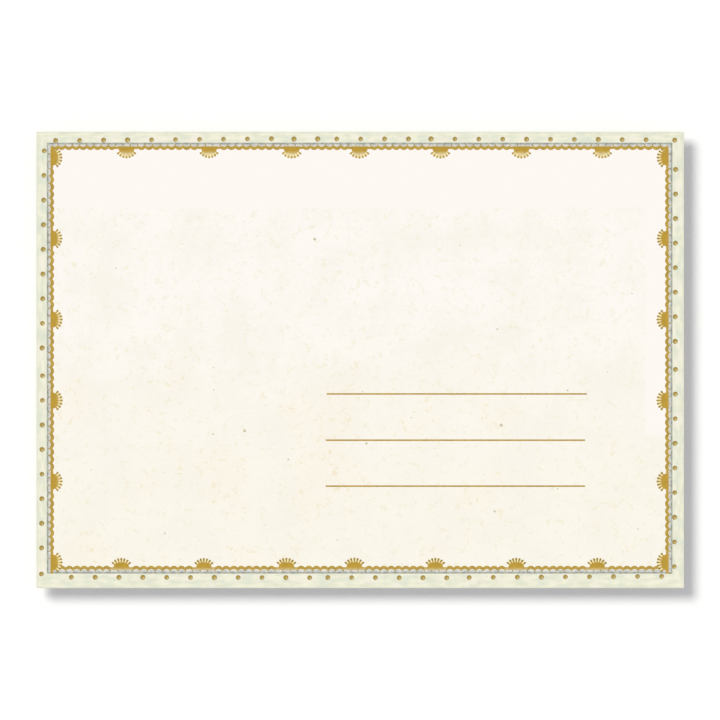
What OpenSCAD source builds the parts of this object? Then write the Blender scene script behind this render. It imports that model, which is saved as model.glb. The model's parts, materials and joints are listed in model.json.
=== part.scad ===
// Advent calendar card: a stiff postcard of three glued plies. The ply that faces -Y
// is the address side. The ply that faces +Y is the calendar side, die-cut into
// numbered doors that fold out to show the pictures printed on the ply between.
// Frame: X across the card, to the right as the address side is read, Z up the card,
// Y through it. The origin is the centre of the address side.

/* [Card] */
// Width of the card
card_w = 210; // [190:1:240]
// Height of the card
card_h = 148; // [140:1:180]
// Distance from the card's edge to the nearest door
margin = 12; // [9:0.5:16]

/* [Plies] */
// Thickness of the address sheet
address_t = 0.35; // [0.2:0.05:0.6]
// Thickness of the picture sheet
picture_t = 0.15; // [0.1:0.05:0.3]
// Thickness of the door sheet and of the doors that are cut from it
door_t = 0.4; // [0.3:0.05:0.6]
// Thickness of the glue between the address sheet and the picture sheet
back_glue_t = 0.1; // [0.05:0.01:0.15]
// Thickness of the glue between the picture sheet and the door sheet
door_glue_t = 0.1; // [0.05:0.01:0.15]

/* [Doors] */
// Width of a single door, from its fold to its free edge
door_w = 20; // [14:1:24]
// Height of a single door
door_h = 18; // [12:1:20]
// Radius of a single door's two free corners
corner_r = 1.5; // [0.5:0.25:3]
// Width of the arched double door, over both leaves
gate_w = 26; // [20:1:32]
// Width of the die-cut line round a door
kerf = 0.25; // [0.15:0.05:0.4]
// Width of an uncut tie that holds a new door shut
tie_w = 0.6; // [0.3:0.1:1]
// Clearance between a tie and the door that has been torn free of it
tie_gap = 0.05; // [0.02:0.01:0.1]
// Width of the strip round a door that is kept free of glue
glue_relief = 1; // [0.5:0.25:2]

/* [Folds] */
// Radius of the creased bead that a door turns on
crease_r = 0.25; // [0.15:0.05:0.35]
// Clearance between the bead and the edge of the door sheet beside it
crease_gap = 0.05; // [0.03:0.01:0.1]

/* [Hidden] */
// Smoothness of the beads, the corners and the arch
$fn = 64;
// Length by which a cutter passes the faces that it cuts
cut_past = 1;

// The doors stand in a grid of columns and rows, counted from the top left as the
// calendar side is seen. The arched double door takes the last rows of one column.
column_count = 5;
row_count = 5;
gate_column = 2;
gate_first_row = 3;
column_pitch = (card_w - 2 * margin - door_w) / (column_count - 1);
row_pitch = (card_h - 2 * margin - door_h) / (row_count - 1);
// Ties along the free edge of a single door
tie_count = 2;

// Every cell that holds a single door, row by row
cells = [
    for (row = [0 : row_count - 1])
        for (column = [0 : column_count - 1])
            if (column != gate_column || row < gate_first_row) [column, row]
];
single_doors = len(cells);
// The numbers lie out of order: from one number to the next, the door is this many
// cells further on, counted round and round with one empty place after the last cell.
shuffle = 5;

// Where each ply begins, from the address side
back_glue_y = address_t;
picture_y = back_glue_y + back_glue_t;
door_glue_y = picture_y + picture_t;
door_y = door_glue_y + door_glue_t;
front_y = door_y + door_t;

// The arched double door: its foot, its top and the level at which its arch springs
gate_x = column_x(gate_column);
gate_foot = row_z(row_count - 1) - door_h / 2;
gate_top = row_z(gate_first_row) + door_h / 2;
gate_r = gate_w / 2;
gate_spring = gate_top - gate_r;

// Room between a fold's axis and the edge of the door sheet beside it
fold_room = crease_r + crease_gap;

function column_x(column) = ((column_count - 1) / 2 - column) * column_pitch;
function row_z(row) = ((row_count - 1) / 2 - row) * row_pitch;
function cell_of(number) = cells[(shuffle * number) % (single_doors + 1) - 1];
// The side of a door that its fold is on, 1 for +X: doors fold away from the middle
function fold_side(cell) = cell[0] <= gate_column ? 1 : -1;
function door_name(number) = str("door_", number < 10 ? "0" : "", number);
function leaf_name(side) = str(door_name(single_doors + 1), side > 0 ? "_left" : "_right");

// A flat outline, drawn in X and Z, made into a ply that starts at y
module ply(y, thickness) {
    translate([0, y + thickness, 0])
        rotate([90, 0, 0])
            linear_extrude(thickness)
                children();
}

module card_ply(y, thickness) {
    ply(y, thickness)
        square([card_w, card_h], center = true);
}

// Moves what is drawn about the middle of a fold, with the door at -X, to a cell
module at_fold(cell) {
    side = fold_side(cell);
    translate([column_x(cell[0]) + side * door_w / 2, 0, row_z(cell[1])])
        mirror([side > 0 ? 0 : 1, 0, 0])
            children();
}

// A single door's outline from its fold at X 0 to its free edge at -X, larger by grow
// on its three cut sides, and reaching past its fold by past_fold
module door_outline(grow = 0, past_fold = 0) {
    free_edge = -door_w - grow;
    height = door_h + 2 * grow;
    r = corner_r + grow;
    translate([free_edge + r, -height / 2])
        square([past_fold - free_edge - r, height]);
    translate([free_edge, -height / 2 + r])
        square([past_fold - free_edge, height - 2 * r]);
    for (end = [-1, 1])
        translate([free_edge + r, end * (height / 2 - r)])
            circle(r);
}

// The double door's arched outline in its place on the card, larger by grow at its
// foot and round its arch, with its upright sides further out by past_fold
module gate_outline(grow = 0, past_fold = 0) {
    half_w = gate_r + past_fold;
    translate([gate_x - half_w, gate_foot - grow])
        square([2 * half_w, gate_spring - gate_foot + 2 * grow]);
    translate([gate_x, gate_spring])
        circle(gate_r + grow);
}

// Cutters for every door's outline, right through a ply
module door_cutters(y, thickness, grow, past_fold) {
    for (cell = cells)
        at_fold(cell)
            ply(y - cut_past, thickness + 2 * cut_past)
                door_outline(grow, past_fold);
    ply(y - cut_past, thickness + 2 * cut_past)
        gate_outline(grow, past_fold);
}

// The crease bead on a fold's axis, which lies in the face of the calendar side
module crease(foot, height) {
    translate([0, front_y, foot])
        cylinder(h = height, r = crease_r);
}

// The uncut ties of a single door, standing out of the edge of its aperture. Each tie
// is rooted in the sheet by its own width.
module ties() {
    for (i = [1 : tie_count])
        translate([
            -door_w - kerf - tie_w,
            door_y,
            door_h * (i / (tie_count + 1) - 1 / 2) - tie_w / 2
        ])
            cube([tie_w + kerf - tie_gap, door_t, tie_w]);
}

// The uncut ties of the double door, one under the middle of each leaf's foot
module gate_ties() {
    for (side = [1, -1])
        translate([gate_x + side * gate_r / 2 - tie_w / 2, door_y, gate_foot - kerf - tie_w])
            cube([tie_w, door_t, tie_w + kerf - tie_gap]);
}

module address_sheet() {
    color("ivory")
        card_ply(0, address_t);
}

module back_glue() {
    color("gainsboro")
        card_ply(back_glue_y, back_glue_t);
}

module picture_sheet() {
    color("lightsteelblue")
        card_ply(picture_y, picture_t);
}

// Glue everywhere but behind the doors, so that they come away freely
module door_glue() {
    color("gainsboro")
        difference() {
            card_ply(door_glue_y, door_glue_t);
            door_cutters(door_glue_y, door_glue_t, kerf + glue_relief, fold_room + glue_relief);
        }
}

// The calendar side, with an aperture for each door
module door_sheet() {
    color("honeydew") {
        difference() {
            card_ply(door_y, door_t);
            door_cutters(door_y, door_t, kerf, fold_room);
        }
        for (cell = cells)
            at_fold(cell)
                ties();
        gate_ties();
    }
}

module door(number) {
    color("honeydew")
        at_fold(cell_of(number)) {
            ply(door_y, door_t)
                door_outline();
            crease(-door_h / 2, door_h);
        }
}

// One leaf of the arched double door, on the side of +X or -X
module gate_leaf(side) {
    color("honeydew") {
        ply(door_y, door_t)
            intersection() {
                gate_outline();
                translate([gate_x + (side > 0 ? kerf / 2 : -gate_w), gate_foot])
                    square([gate_w - kerf / 2, gate_top - gate_foot]);
            }
        translate([gate_x + side * gate_r, 0, 0])
            crease(gate_foot, gate_spring - gate_foot);
    }
}

address_sheet();
back_glue();
picture_sheet();
door_glue();
door_sheet();
for (number = [1 : single_doors])
    door(number);
for (side = [1, -1])
    gate_leaf(side);
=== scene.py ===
import json
import math

import bmesh
import bpy
from mathutils import Matrix, Vector


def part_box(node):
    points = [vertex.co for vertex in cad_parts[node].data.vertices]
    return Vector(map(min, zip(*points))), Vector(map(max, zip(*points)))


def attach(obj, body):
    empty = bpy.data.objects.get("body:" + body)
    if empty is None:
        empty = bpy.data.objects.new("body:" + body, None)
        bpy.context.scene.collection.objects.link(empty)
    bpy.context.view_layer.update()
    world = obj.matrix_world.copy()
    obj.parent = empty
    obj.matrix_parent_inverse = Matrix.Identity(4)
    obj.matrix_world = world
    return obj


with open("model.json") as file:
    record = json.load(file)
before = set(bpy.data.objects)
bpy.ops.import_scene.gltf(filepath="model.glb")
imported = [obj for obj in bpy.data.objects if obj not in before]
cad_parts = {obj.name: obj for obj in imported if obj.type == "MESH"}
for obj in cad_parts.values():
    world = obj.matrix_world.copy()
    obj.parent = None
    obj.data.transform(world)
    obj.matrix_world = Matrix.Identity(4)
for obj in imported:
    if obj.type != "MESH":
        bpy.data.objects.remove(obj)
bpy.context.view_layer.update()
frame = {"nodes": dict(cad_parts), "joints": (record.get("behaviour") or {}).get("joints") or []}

# A millimetre in metres, the slack when two distances are compared, and the distance at which
# corners are merged, both in millimetres
MM = 0.001
TOUCH = 0.01
MERGE = 1e-6

# Sizes read from the solids
HALF_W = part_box("address_sheet")[1].x / MM
HALF_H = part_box("address_sheet")[1].z / MM
ADDRESS_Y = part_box("address_sheet")[0].y
PICTURE_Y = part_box("picture_sheet")[1].y
CALENDAR_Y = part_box("door_sheet")[1].y

# The body that everything rides on, apart from the doors and their print
CARD_BODY = "card"

# Print relief, in millimetres: where a print is rooted in the paper, and the tops of its layers
ROOT = -0.02
TINT_TOP = 0.014
INK_TOP = 0.02
TICK_TOP = 0.026
EDGING_TOP = 0.032
WEB_TOP = 0.035
GOLD_TOP = 0.038
FAN_FOOT_TOP = 0.043
FAN_CORE_TOP = 0.048
BEAD_TOP = 0.09
PICTURE_STEP = 0.002

# Border: distances of the rule and the edging from the card's left, bottom, right and top edge
ADDRESS_RULE_INSET = (3.6, 5.02, 4.04, 3.79)
ADDRESS_EDGING_INSET = (4.66, 6.24, 5.12, 4.86)
CALENDAR_RULE_INSET = (4.0, 4.0, 4.0, 4.0)
CALENDAR_EDGING_INSET = (5.1, 5.1, 5.1, 5.1)
RULE_STROKE = 0.56
# Edging: spacing and depth of its lobes, width of its stroke, the share by which the stroke swells
# in a lobe, the power that shapes a lobe, and the steps that draw it
EDGING_PITCH = 2.38
EDGING_DEPTH = 0.52
EDGING_STROKE = 0.82
EDGING_SWELLING = 0.3
EDGING_POINT = 1.2
EDGING_STEPS = 8
# Fans, each in the place of a few lobes of the edging: distance from the rule, half the stretch of
# edging that is replaced, the shell and the power that squares it, and the lower and upper level
# of the foot
FAN_INSET = 0.92
FAN_LOBES = 3
FAN_REACH = FAN_LOBES * EDGING_PITCH / 2
FAN_HALF_W = 2.6
FAN_DEPTH = 2.4
FAN_SQUARENESS = 0.75
FAN_FOOT = (0.1, 0.85)
# Rays of a fan: count, degrees between them, distances of their start, waist and end from the
# middle of the foot, and half their width at the start, waist and club
RAY_COUNT = 7
RAY_STEP = 17.0
RAY_START = 1.6
RAY_WAIST = 3.0
RAY_END = 3.9
RAY_HALF_WIDTHS = (0.18, 0.21, 0.3)
# Web between the rays: level of its foot, and distance of its rim from the ends of the rays
WEB_FOOT = 0.5
WEB_INSET = 0.25
# Tones of fans and beads, from 0 for dark to 1 for a glint: the plain gold, the waist of a ray,
# and the palest gold of a fan
PLAIN_TONE = 0.6
WAIST_TONE = 0.66
PALEST_TONE = 0.85
# Painted sheen of the fans: the direction in which they turn pale, and away from which they darken, by
# how much for each millimetre of a fan's depth, and the depth at which a fan has its plain tone
SHEEN_TOWARD = (0.33, -0.94)
SHEEN = 0.18
SHEEN_ZERO = 1.15
# Beads: radius, fineness, and the painted glint's place and the reach of its painted shade, in shares
# of the radius
BEAD_R = 0.81
BEAD_SIDES = 14
BEAD_RINGS = 4
BEAD_GLINT = (0.35, -0.45)
BEAD_FADE = 1.6
# Tinted strip inside the rule, and the ticks that stand on it, out from the edging's line
TINT_INSET = 0.3
TINT_W = 0.7
TICK_OUT = 0.58
TICK_W = 0.34
TICK_H = 0.6
# Smallest and largest size of a stamped ornament, as shares of its own, and the seed of its draw
UNEVEN = {
    "ticks": (0.85, 1.1, 7),
    "fans": (0.97, 1.03, 11),
    "beads": (0.93, 1.07, 13),
    "stars": (0.6, 1.1, 17),
    "twinkles": (0.6, 1.1, 19),
}

# Beads of the address side: first place, last place and count of each printed run
ADDRESS_BEADS = (
    ((-98.8, 71.15), (-28.8, 71.75), 10),
    ((-21.5, 71.65), (-13.8, 71.7), 2),
    ((-7.6, 71.7), (15.65, 71.7), 4),
    ((22.95, 71.7), (92.7, 71.45), 10),
    ((102.0, 71.3), (102.0, 71.3), 1),
    ((102.3, 61.8), (102.15, 6.05), 8),
    ((102.25, -3.05), (101.85, -67.0), 9),
    ((-93.7, -70.45), (-16.4, -70.6), 11),
    ((-10.5, -70.55), (28.05, -70.65), 6),
    ((35.35, -70.55), (97.75, -70.15), 9),
    ((-102.5, 67.85), (-103.15, 3.9), 9),
    ((-103.05, -5.1), (-103.35, -60.95), 8),
    ((-103.4, -69.4), (-103.4, -69.4), 1),
)
# Fans of the address side: the side they stand on, first and last place along it, and count
ADDRESS_FANS = (
    ("top", -75.8, -22.25, 3),
    ("top", -0.25, 78.5, 4),
    ("bottom", -77.5, -23.95, 3),
    ("bottom", -1.9, 76.85, 4),
    ("left", 65.65, -65.65, 6),
    ("right", 65.65, -65.65, 6),
)
CALENDAR_FANS = (
    ("top", -79.2, 79.2, 7),
    ("bottom", -79.2, 79.2, 7),
    ("left", 65.5, -65.5, 6),
    ("right", 65.5, -65.5, 6),
)
# Beads of the calendar side: distance from the edge, and count on a level and an upright side
CALENDAR_BEAD_INSET = 2.0
CALENDAR_BEAD_COUNTS = (27, 19)

# Address lines: left end, right end and height of each, and their thickness
ADDRESS_LINES = ((-10.9, 73.5, -11.0), (-11.2, 72.9, -26.0), (-11.2, 72.9, -40.9))
ADDRESS_LINE_STROKE = 0.47

# Doors: printed frame, number plaque and numeral, and the scale of the pictures behind them
FRAME_INSET = 1.1
FRAME_STROKE = 0.35
FRAME_R = 1.0
PLAQUE_R = 4.9
PLAQUE_RIM = 0.35
NUMERAL_H = 4.6
NUMERAL_STEPS = 4
LEAF_PLAQUE_R = 3.6
LEAF_NUMERAL_H = 4.0
LEAF_PLAQUE_V = -34.0
GATE_NAMES = ("door_24_left", "door_24_right")
PICTURE_SCALE = 1.3
# The lowest row of doors, counted from 0 at the foot of the card, that has open sky round it
SKY_ROW = 3


def face_matrix(outward, y):
    """Puts flat work on the face at y that looks along outward, 1 for +Y and -1 for -Y."""
    return Matrix((
        (-outward * MM, 0, 0, 0),
        (0, 0, outward * MM, y),
        (0, MM, 0, 0),
        (0, 0, 0, 1),
    ))


ADDRESS_FACE = face_matrix(-1, ADDRESS_Y)
CALENDAR_FACE = face_matrix(1, CALENDAR_Y)
PICTURE_FACE = face_matrix(1, PICTURE_Y)


# Node building

class Field:
    """A node's output. Arithmetic on it adds Math nodes to its tree."""

    def __init__(self, tree, socket):
        self.tree = tree
        self.socket = socket

    def math(self, operation, *others):
        feeds = dict(enumerate((self, *others)))
        made = node(self.tree, "ShaderNodeMath", feeds, operation=operation)
        return Field(self.tree, made.outputs[0])

    def __add__(self, other):
        return self.math("ADD", other)

    def __sub__(self, other):
        return self.math("SUBTRACT", other)

    def __rsub__(self, other):
        return self.math("MULTIPLY_ADD", -1.0, other)

    def __mul__(self, other):
        return self.math("MULTIPLY", other)

    def __truediv__(self, other):
        return self.math("DIVIDE", other)

    def least(self, other):
        return self.math("MINIMUM", other)

    def above(self, level):
        return self.math("GREATER_THAN", level)

    def below(self, level):
        return self.math("LESS_THAN", level)

    def size(self):
        return self.math("ABSOLUTE")

    def sine(self):
        return self.math("SINE")

    def ease(self, low, high):
        """0 up to low, 1 from high, and smooth between them."""
        feeds = {"Value": self, "From Min": low, "From Max": high}
        made = node(self.tree, "ShaderNodeMapRange", feeds, interpolation_type="SMOOTHSTEP")
        return Field(self.tree, made.outputs["Result"])


def feed(tree, socket, value):
    if isinstance(value, Field):
        value = value.socket
    if isinstance(value, bpy.types.NodeSocket):
        tree.links.new(value, socket)
    else:
        socket.default_value = value


def node(tree, kind, feeds=None, **settings):
    """A new node with its settings, and with its inputs fed by name or by number."""
    made = tree.nodes.new(kind)
    for name, value in settings.items():
        setattr(made, name, value)
    for key, value in (feeds or {}).items():
        feed(tree, made.inputs[key], value)
    return made


def sockets(kind, *labels):
    """Sockets of one kind, for a new group."""
    return {label: "NodeSocket" + kind for label in labels}


def new_group(name, kind, takes, gives):
    """A node group, with the sockets that it takes from and gives to the outside."""
    tree = bpy.data.node_groups.new(name, kind)
    for label, socket_type in takes.items():
        tree.interface.new_socket(label, in_out="INPUT", socket_type=socket_type)
    for label, socket_type in gives.items():
        tree.interface.new_socket(label, in_out="OUTPUT", socket_type=socket_type)
    return tree, tree.nodes.new("NodeGroupInput").outputs, tree.nodes.new("NodeGroupOutput").inputs


def use_group(tree, group, feeds):
    made = node(tree, "ShaderNodeGroup", node_tree=group)
    for name, value in feeds.items():
        feed(tree, made.inputs[name], value)
    return {socket.name: Field(tree, socket) for socket in made.outputs}


def ink(red, green, blue):
    """A colour as a picture file writes it, 0 to 255, made linear for a shader."""
    def linear(level):
        share = level / 255
        return share / 12.92 if share <= 0.04045 else ((share + 0.055) / 1.055) ** 2.4
    return (linear(red), linear(green), linear(blue), 1.0)


def mix(factor, under, over):
    feeds = {0: factor, 6: under, 7: over}
    made = node(factor.tree, "ShaderNodeMix", feeds, data_type="RGBA")
    return Field(factor.tree, made.outputs[2])


def grain(tree, place, size, detail=2.0, stretch=(1.0, 1.0, 1.0), distortion=0.0):
    """Soft noise around 0.5, with features of about size millimetres times stretch."""
    scale = tuple(1 / (size * share) for share in stretch)
    at = node(tree, "ShaderNodeMapping", {"Vector": place, "Scale": scale}).outputs["Vector"]
    feeds = {"Vector": at, "Scale": 1.0, "Detail": detail, "Distortion": distortion}
    return Field(tree, node(tree, "ShaderNodeTexNoise", feeds).outputs["Fac"])


def coordinates(tree, place):
    """The x, y and z of a place."""
    made = node(tree, "ShaderNodeSeparateXYZ", {"Vector": place})
    return [Field(tree, socket) for socket in made.outputs]


def specks(tree, x, z, pitch, share, radius):
    """Scattered round specks, in a share of the cells of a loose grid."""
    flat = node(tree, "ShaderNodeCombineXYZ", {"X": x, "Y": z}).outputs["Vector"]
    feeds = {"Vector": flat, "Scale": 1 / pitch}
    cells = node(tree, "ShaderNodeTexVoronoi", feeds, voronoi_dimensions="2D")
    chance = node(tree, "ShaderNodeSeparateColor", {"Color": cells.outputs["Color"]})
    reach = Field(tree, chance.outputs["Green"]) * radius + 0.4 * radius
    spread = (reach - Field(tree, cells.outputs["Distance"]) * pitch).ease(0.0, 0.5 * radius)
    return spread * Field(tree, chance.outputs["Red"]).below(share)


def card_place(tree):
    """The place on the card in millimetres: as a vector, and as x, y and z."""
    at = node(tree, "ShaderNodeTexCoord").outputs["Object"]
    feeds = {"Vector": at, "Scale": (1 / MM,) * 3}
    place = node(tree, "ShaderNodeMapping", feeds).outputs["Vector"]
    return place, *coordinates(tree, place)


# Shader groups that several finishes share

def card_stock_group():
    """Cotton-rag card: soft mottling, specks, short fibres and a fine tooth."""
    group, takes, gives = new_group(
        "card_stock", "ShaderNodeTree",
        sockets("Vector", "Place") | sockets("Float", "Mottle Size"),
        sockets("Float", "Mottle", "Fleck", "Fibre", "Tooth"),
    )
    place = takes["Place"]
    x, _, z = coordinates(group, place)
    coarse = Field(group, node(group, "ShaderNodeTexNoise", {
        "Vector": place,
        "Scale": Field(group, takes["Mottle Size"]).math("POWER", -1.0),
        "Detail": 5.0,
    }).outputs["Fac"])
    fine = grain(group, place, 1.6, 3.0)
    feed(group, gives["Mottle"], (coarse * 0.7 + fine * 0.3).ease(0.38, 0.66))
    flecks = specks(group, x, z, 8.0, 0.1, 0.26) + specks(group, x, z, 21.0, 0.3, 0.45)
    feed(group, gives["Fleck"], flecks.least(1.0))
    strand = (grain(group, place, 3.4, 1.0, distortion=1.6) - 0.5).size()
    lie = grain(group, place, 3.0, 2.0).ease(0.48, 0.6)
    feed(group, gives["Fibre"], (1.0 - strand.ease(0.01, 0.045)) * lie)
    feed(group, gives["Tooth"], grain(group, place, 0.22, 3.0))
    return group


def border_wash_group():
    """The brushed wash outside the rule, with streaks that run along the nearest edge."""
    group, takes, gives = new_group(
        "border_wash", "ShaderNodeTree",
        sockets("Vector", "Place") | sockets("Float", "Left", "Bottom", "Right", "Top"),
        sockets("Float", "Band") | sockets("Color", "Wash"),
    )
    place = takes["Place"]
    x, _, z = coordinates(group, place)
    left, bottom, right, top = (Field(group, takes[s]) for s in ("Left", "Bottom", "Right", "Top"))
    across = (x - left).least(right - x)
    upward = (z - bottom).least(top - z)
    inside = across.least(upward)
    feed(group, gives["Band"], inside.ease(0.1, -0.1))
    upright = (upward - across).above(0.0)
    along_x = grain(group, place, 1.4, 3.0, stretch=(3.6, 1.0, 1.0))
    along_z = grain(group, place, 1.4, 3.0, stretch=(1.0, 1.0, 3.6))
    streak = along_x + (along_z - along_x) * upright
    blot = grain(group, place, 4.6, 3.0)
    wash = mix(streak.ease(0.34, 0.66), ink(245, 242, 219), ink(227, 229, 208))
    wash = mix(blot.ease(0.5, 0.66) * 0.65, wash, ink(246, 240, 226))
    wash = mix(blot.ease(0.48, 0.34) * 0.6, wash, ink(221, 229, 212))
    edge = (HALF_W - x.size()).least(HALF_H - z.size())
    feed(group, gives["Wash"], mix(edge.ease(0.7, 0.0) * 0.45, wash, ink(214, 215, 195)))
    return group


def ink_lay_group():
    """How evenly an ink lies: slow patches, and the grain of the paper through it."""
    group, takes, gives = new_group(
        "ink_lay", "ShaderNodeTree",
        sockets("Vector", "Place"),
        sockets("Float", "Patch", "Grain"),
    )
    feed(group, gives["Patch"], grain(group, takes["Place"], 1.5, 3.0).ease(0.36, 0.64))
    feed(group, gives["Grain"], grain(group, takes["Place"], 0.16, 2.0).ease(0.3, 0.7))
    return group


CARD_STOCK = card_stock_group()
BORDER_WASH = border_wash_group()
INK_LAY = ink_lay_group()


# Finishes

BUMP_STRENGTH = 0.5
# Soft edges on the address side, in millimetres, from none to full: the aged board, and a strip
# at its right that stayed clean
AGED_Z = (49.9, 48.7)
CLEAN_X = (91.6, 93.2)
CLEAN_Z = (-26.0, -23.0)
# Heights from a printed face between which bare board turns into print, and between which the
# print on a crease wears off
PRINT_DEPTH = (-0.03, -0.015)
CREASE_WEAR = (0.04, 0.16)


def new_finish(name, specular, metallic=0.0):
    material = bpy.data.materials.new(name)
    material.use_nodes = True
    shader = material.node_tree.nodes["Principled BSDF"]
    shader.inputs["Specular IOR Level"].default_value = specular
    shader.inputs["Metallic"].default_value = metallic
    return material, material.node_tree, shader


def dress(tree, shader, colour, roughness, height=None, depth=0.0):
    """Gives a finish its colour and roughness, and a bump of a depth in millimetres."""
    feed(tree, shader.inputs["Base Color"], colour)
    feed(tree, shader.inputs["Roughness"], roughness)
    if height is not None:
        feeds = {"Height": height, "Distance": depth * MM, "Strength": BUMP_STRENGTH}
        feed(tree, shader.inputs["Normal"], node(tree, "ShaderNodeBump", feeds).outputs["Normal"])


def inset_sides(inset):
    """The left, bottom, right and top side of a rectangle that is inset from the card's edges."""
    left, bottom, right, top = inset
    return left - HALF_W, bottom - HALF_H, HALF_W - right, HALF_H - top


def wash_feeds(place, sides, mirrored):
    left, bottom, right, top = sides
    if mirrored:
        left, right = -right, -left
    return {"Place": place, "Left": left, "Bottom": bottom, "Right": right, "Top": top}


def bare_board(stock, place, tree):
    """Uncoated board, as it shows on cut edges and inside a door."""
    layers = grain(tree, place, 0.09, 2.0, stretch=(40.0, 1.0, 40.0))
    pale = mix(layers.ease(0.35, 0.65), ink(232, 225, 207), ink(246, 241, 228))
    pale = mix(stock["Mottle"] * 0.4, pale, ink(226, 217, 196))
    return mix(stock["Fibre"] * 0.45, pale, ink(205, 190, 158))


def address_board():
    material, tree, shader = new_finish("address_board", 0.12)
    place, x, y, z = card_place(tree)
    stock = use_group(tree, CARD_STOCK, {"Place": place, "Mottle Size": 15.0})
    field = mix(z.ease(-50.0, 30.0), ink(251, 247, 235), ink(254, 249, 243))
    field = mix(stock["Mottle"] * 0.7, field, ink(247, 243, 232))
    stain = grain(tree, place, 24.0, 3.0).ease(0.47, 0.62) * z.ease(14.0, -16.0)
    stain = stain * (1.0 - x.ease(40.0, 80.0) * 0.6)
    thread = mix(stain, ink(243, 238, 214), ink(243, 230, 198))
    field = mix(stain * 0.35, field, ink(251, 243, 226))
    field = mix(stock["Fibre"] * 0.75, field, thread)
    field = mix(stock["Fleck"] * 0.8, field, ink(196, 184, 146))
    aged = z.ease(*AGED_Z) * (1.0 - x.ease(*CLEAN_X) * z.ease(*CLEAN_Z))
    field = mix(aged, ink(253, 248, 242), field)
    wash = use_group(tree, BORDER_WASH, wash_feeds(place, inset_sides(ADDRESS_RULE_INSET), False))
    printed = mix(wash["Band"], field, wash["Wash"])
    colour = mix((ADDRESS_Y / MM - y).ease(*PRINT_DEPTH), bare_board(stock, place, tree), printed)
    dress(tree, shader, colour, stock["Tooth"] * 0.16 + 0.78, stock["Tooth"], 0.012)
    return material


def fir_row(tree, u, v, pitch, foot, tallest, seed):
    """Masks of a row of firs with saw-toothed sides: the trees, and the snow on their boughs."""
    cell = (u / pitch).math("FLOOR")
    draw = node(tree, "ShaderNodeTexWhiteNoise", {"W": cell + seed}, noise_dimensions="1D")
    chance = Field(tree, draw.outputs["Value"])
    middle = (cell + (chance * 0.3 + 0.35)) * pitch
    below_tip = foot + (chance * 0.45 + 0.55) * tallest - v
    bough = (below_tip / (tallest / 5)).math("FRACT")
    half = below_tip * (bough * 0.16 + 0.17)
    beside = (u - middle).size()
    trees = (half - beside).ease(-0.15, 0.15) * below_tip.above(0.0) * (v - foot).above(-1.5)
    return trees, trees * bough.ease(0.42, 0.25)


def winter_scene(tree, place, x, z):
    """Watercolour snow hills and firs under a pale sky, seen from the calendar side."""
    bleed = grain(tree, place, 4.0, 4.0) - 0.5
    u = bleed * 1.8 - x
    v = bleed * 1.8 + z
    cloud = grain(tree, place, 16.0, 4.0, stretch=(2.2, 1.0, 1.0))
    sky = mix(z.ease(-35.0, 78.0), ink(244, 238, 220), ink(158, 195, 192))
    sky = mix(cloud.ease(0.48, 0.68) * 0.75, sky, ink(240, 240, 230))
    far = (u / 34.0 + 0.6).sine() * 8.0 + (u / 13.0 + 2.0).sine() * 3.0 - 4.0
    wood, _ = fir_row(tree, u, v, 4.6, far, 9.0, 3.0)
    scene = mix(wood * 0.8, sky, ink(146, 180, 172))
    hill = mix((far - v).ease(0.0, 26.0), ink(247, 248, 243), ink(203, 221, 219))
    scene = mix((far - v).ease(-0.3, 0.3), scene, hill)
    near = (u / 27.0 + 3.4).sine() * 5.0 + (u / 11.0).sine() * 2.0 - 34.0
    firs, boughs = fir_row(tree, u, v, 17.0, near, 26.0, 11.0)
    needles = mix(grain(tree, place, 2.0, 3.0).ease(0.35, 0.65), ink(84, 124, 112), ink(118, 152, 134))
    scene = mix(firs, scene, needles)
    scene = mix(boughs * 0.85, scene, ink(243, 246, 242))
    bank = mix((near - v).ease(0.0, 30.0), ink(251, 251, 247), ink(212, 227, 226))
    scene = mix((near - v).ease(-0.3, 0.3), scene, bank)
    flakes = specks(tree, x, z, 5.0, 0.5, 0.42)
    return mix(flakes * 0.9, scene, ink(255, 255, 252))


def door_board():
    material, tree, shader = new_finish("door_board", 0.22)
    place, x, y, z = card_place(tree)
    stock = use_group(tree, CARD_STOCK, {"Place": place, "Mottle Size": 9.0})
    wash = use_group(tree, BORDER_WASH, wash_feeds(place, inset_sides(CALENDAR_RULE_INSET), True))
    printed = mix(wash["Band"], winter_scene(tree, place, x, z), wash["Wash"])
    printed = mix(stock["Fibre"] * 0.25, printed, ink(250, 246, 232))
    above = y - CALENDAR_Y / MM
    creased = above.ease(*CREASE_WEAR) * (stock["Tooth"] * 0.9 + 0.25)
    printed = mix(creased.least(1.0), printed, ink(248, 245, 236))
    colour = mix(above.ease(*PRINT_DEPTH), bare_board(stock, place, tree), printed)
    dress(tree, shader, colour, stock["Tooth"] * 0.2 + 0.6, stock["Tooth"], 0.01)
    return material


def picture_paper():
    material, tree, shader = new_finish("picture_paper", 0.3)
    place, x, y, z = card_place(tree)
    stock = use_group(tree, CARD_STOCK, {"Place": place, "Mottle Size": 6.0})
    night = mix(stock["Mottle"], ink(66, 112, 118), ink(92, 138, 138))
    night = mix(specks(tree, x, z, 3.2, 0.55, 0.2) * 0.85, night, ink(243, 240, 224))
    above = y - PICTURE_Y / MM
    colour = mix(above.ease(*PRINT_DEPTH), bare_board(stock, place, tree), night)
    dress(tree, shader, colour, stock["Tooth"] * 0.2 + 0.5, stock["Tooth"], 0.006)
    return material


def dried_glue():
    material, tree, shader = new_finish("dried_glue", 0.4)
    run = grain(tree, card_place(tree)[0], 3.0, 4.0)
    colour = mix(run.ease(0.35, 0.65), ink(233, 231, 222), ink(219, 214, 198))
    dress(tree, shader, colour, run * 0.35 + 0.22, run, 0.02)
    return material


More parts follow.
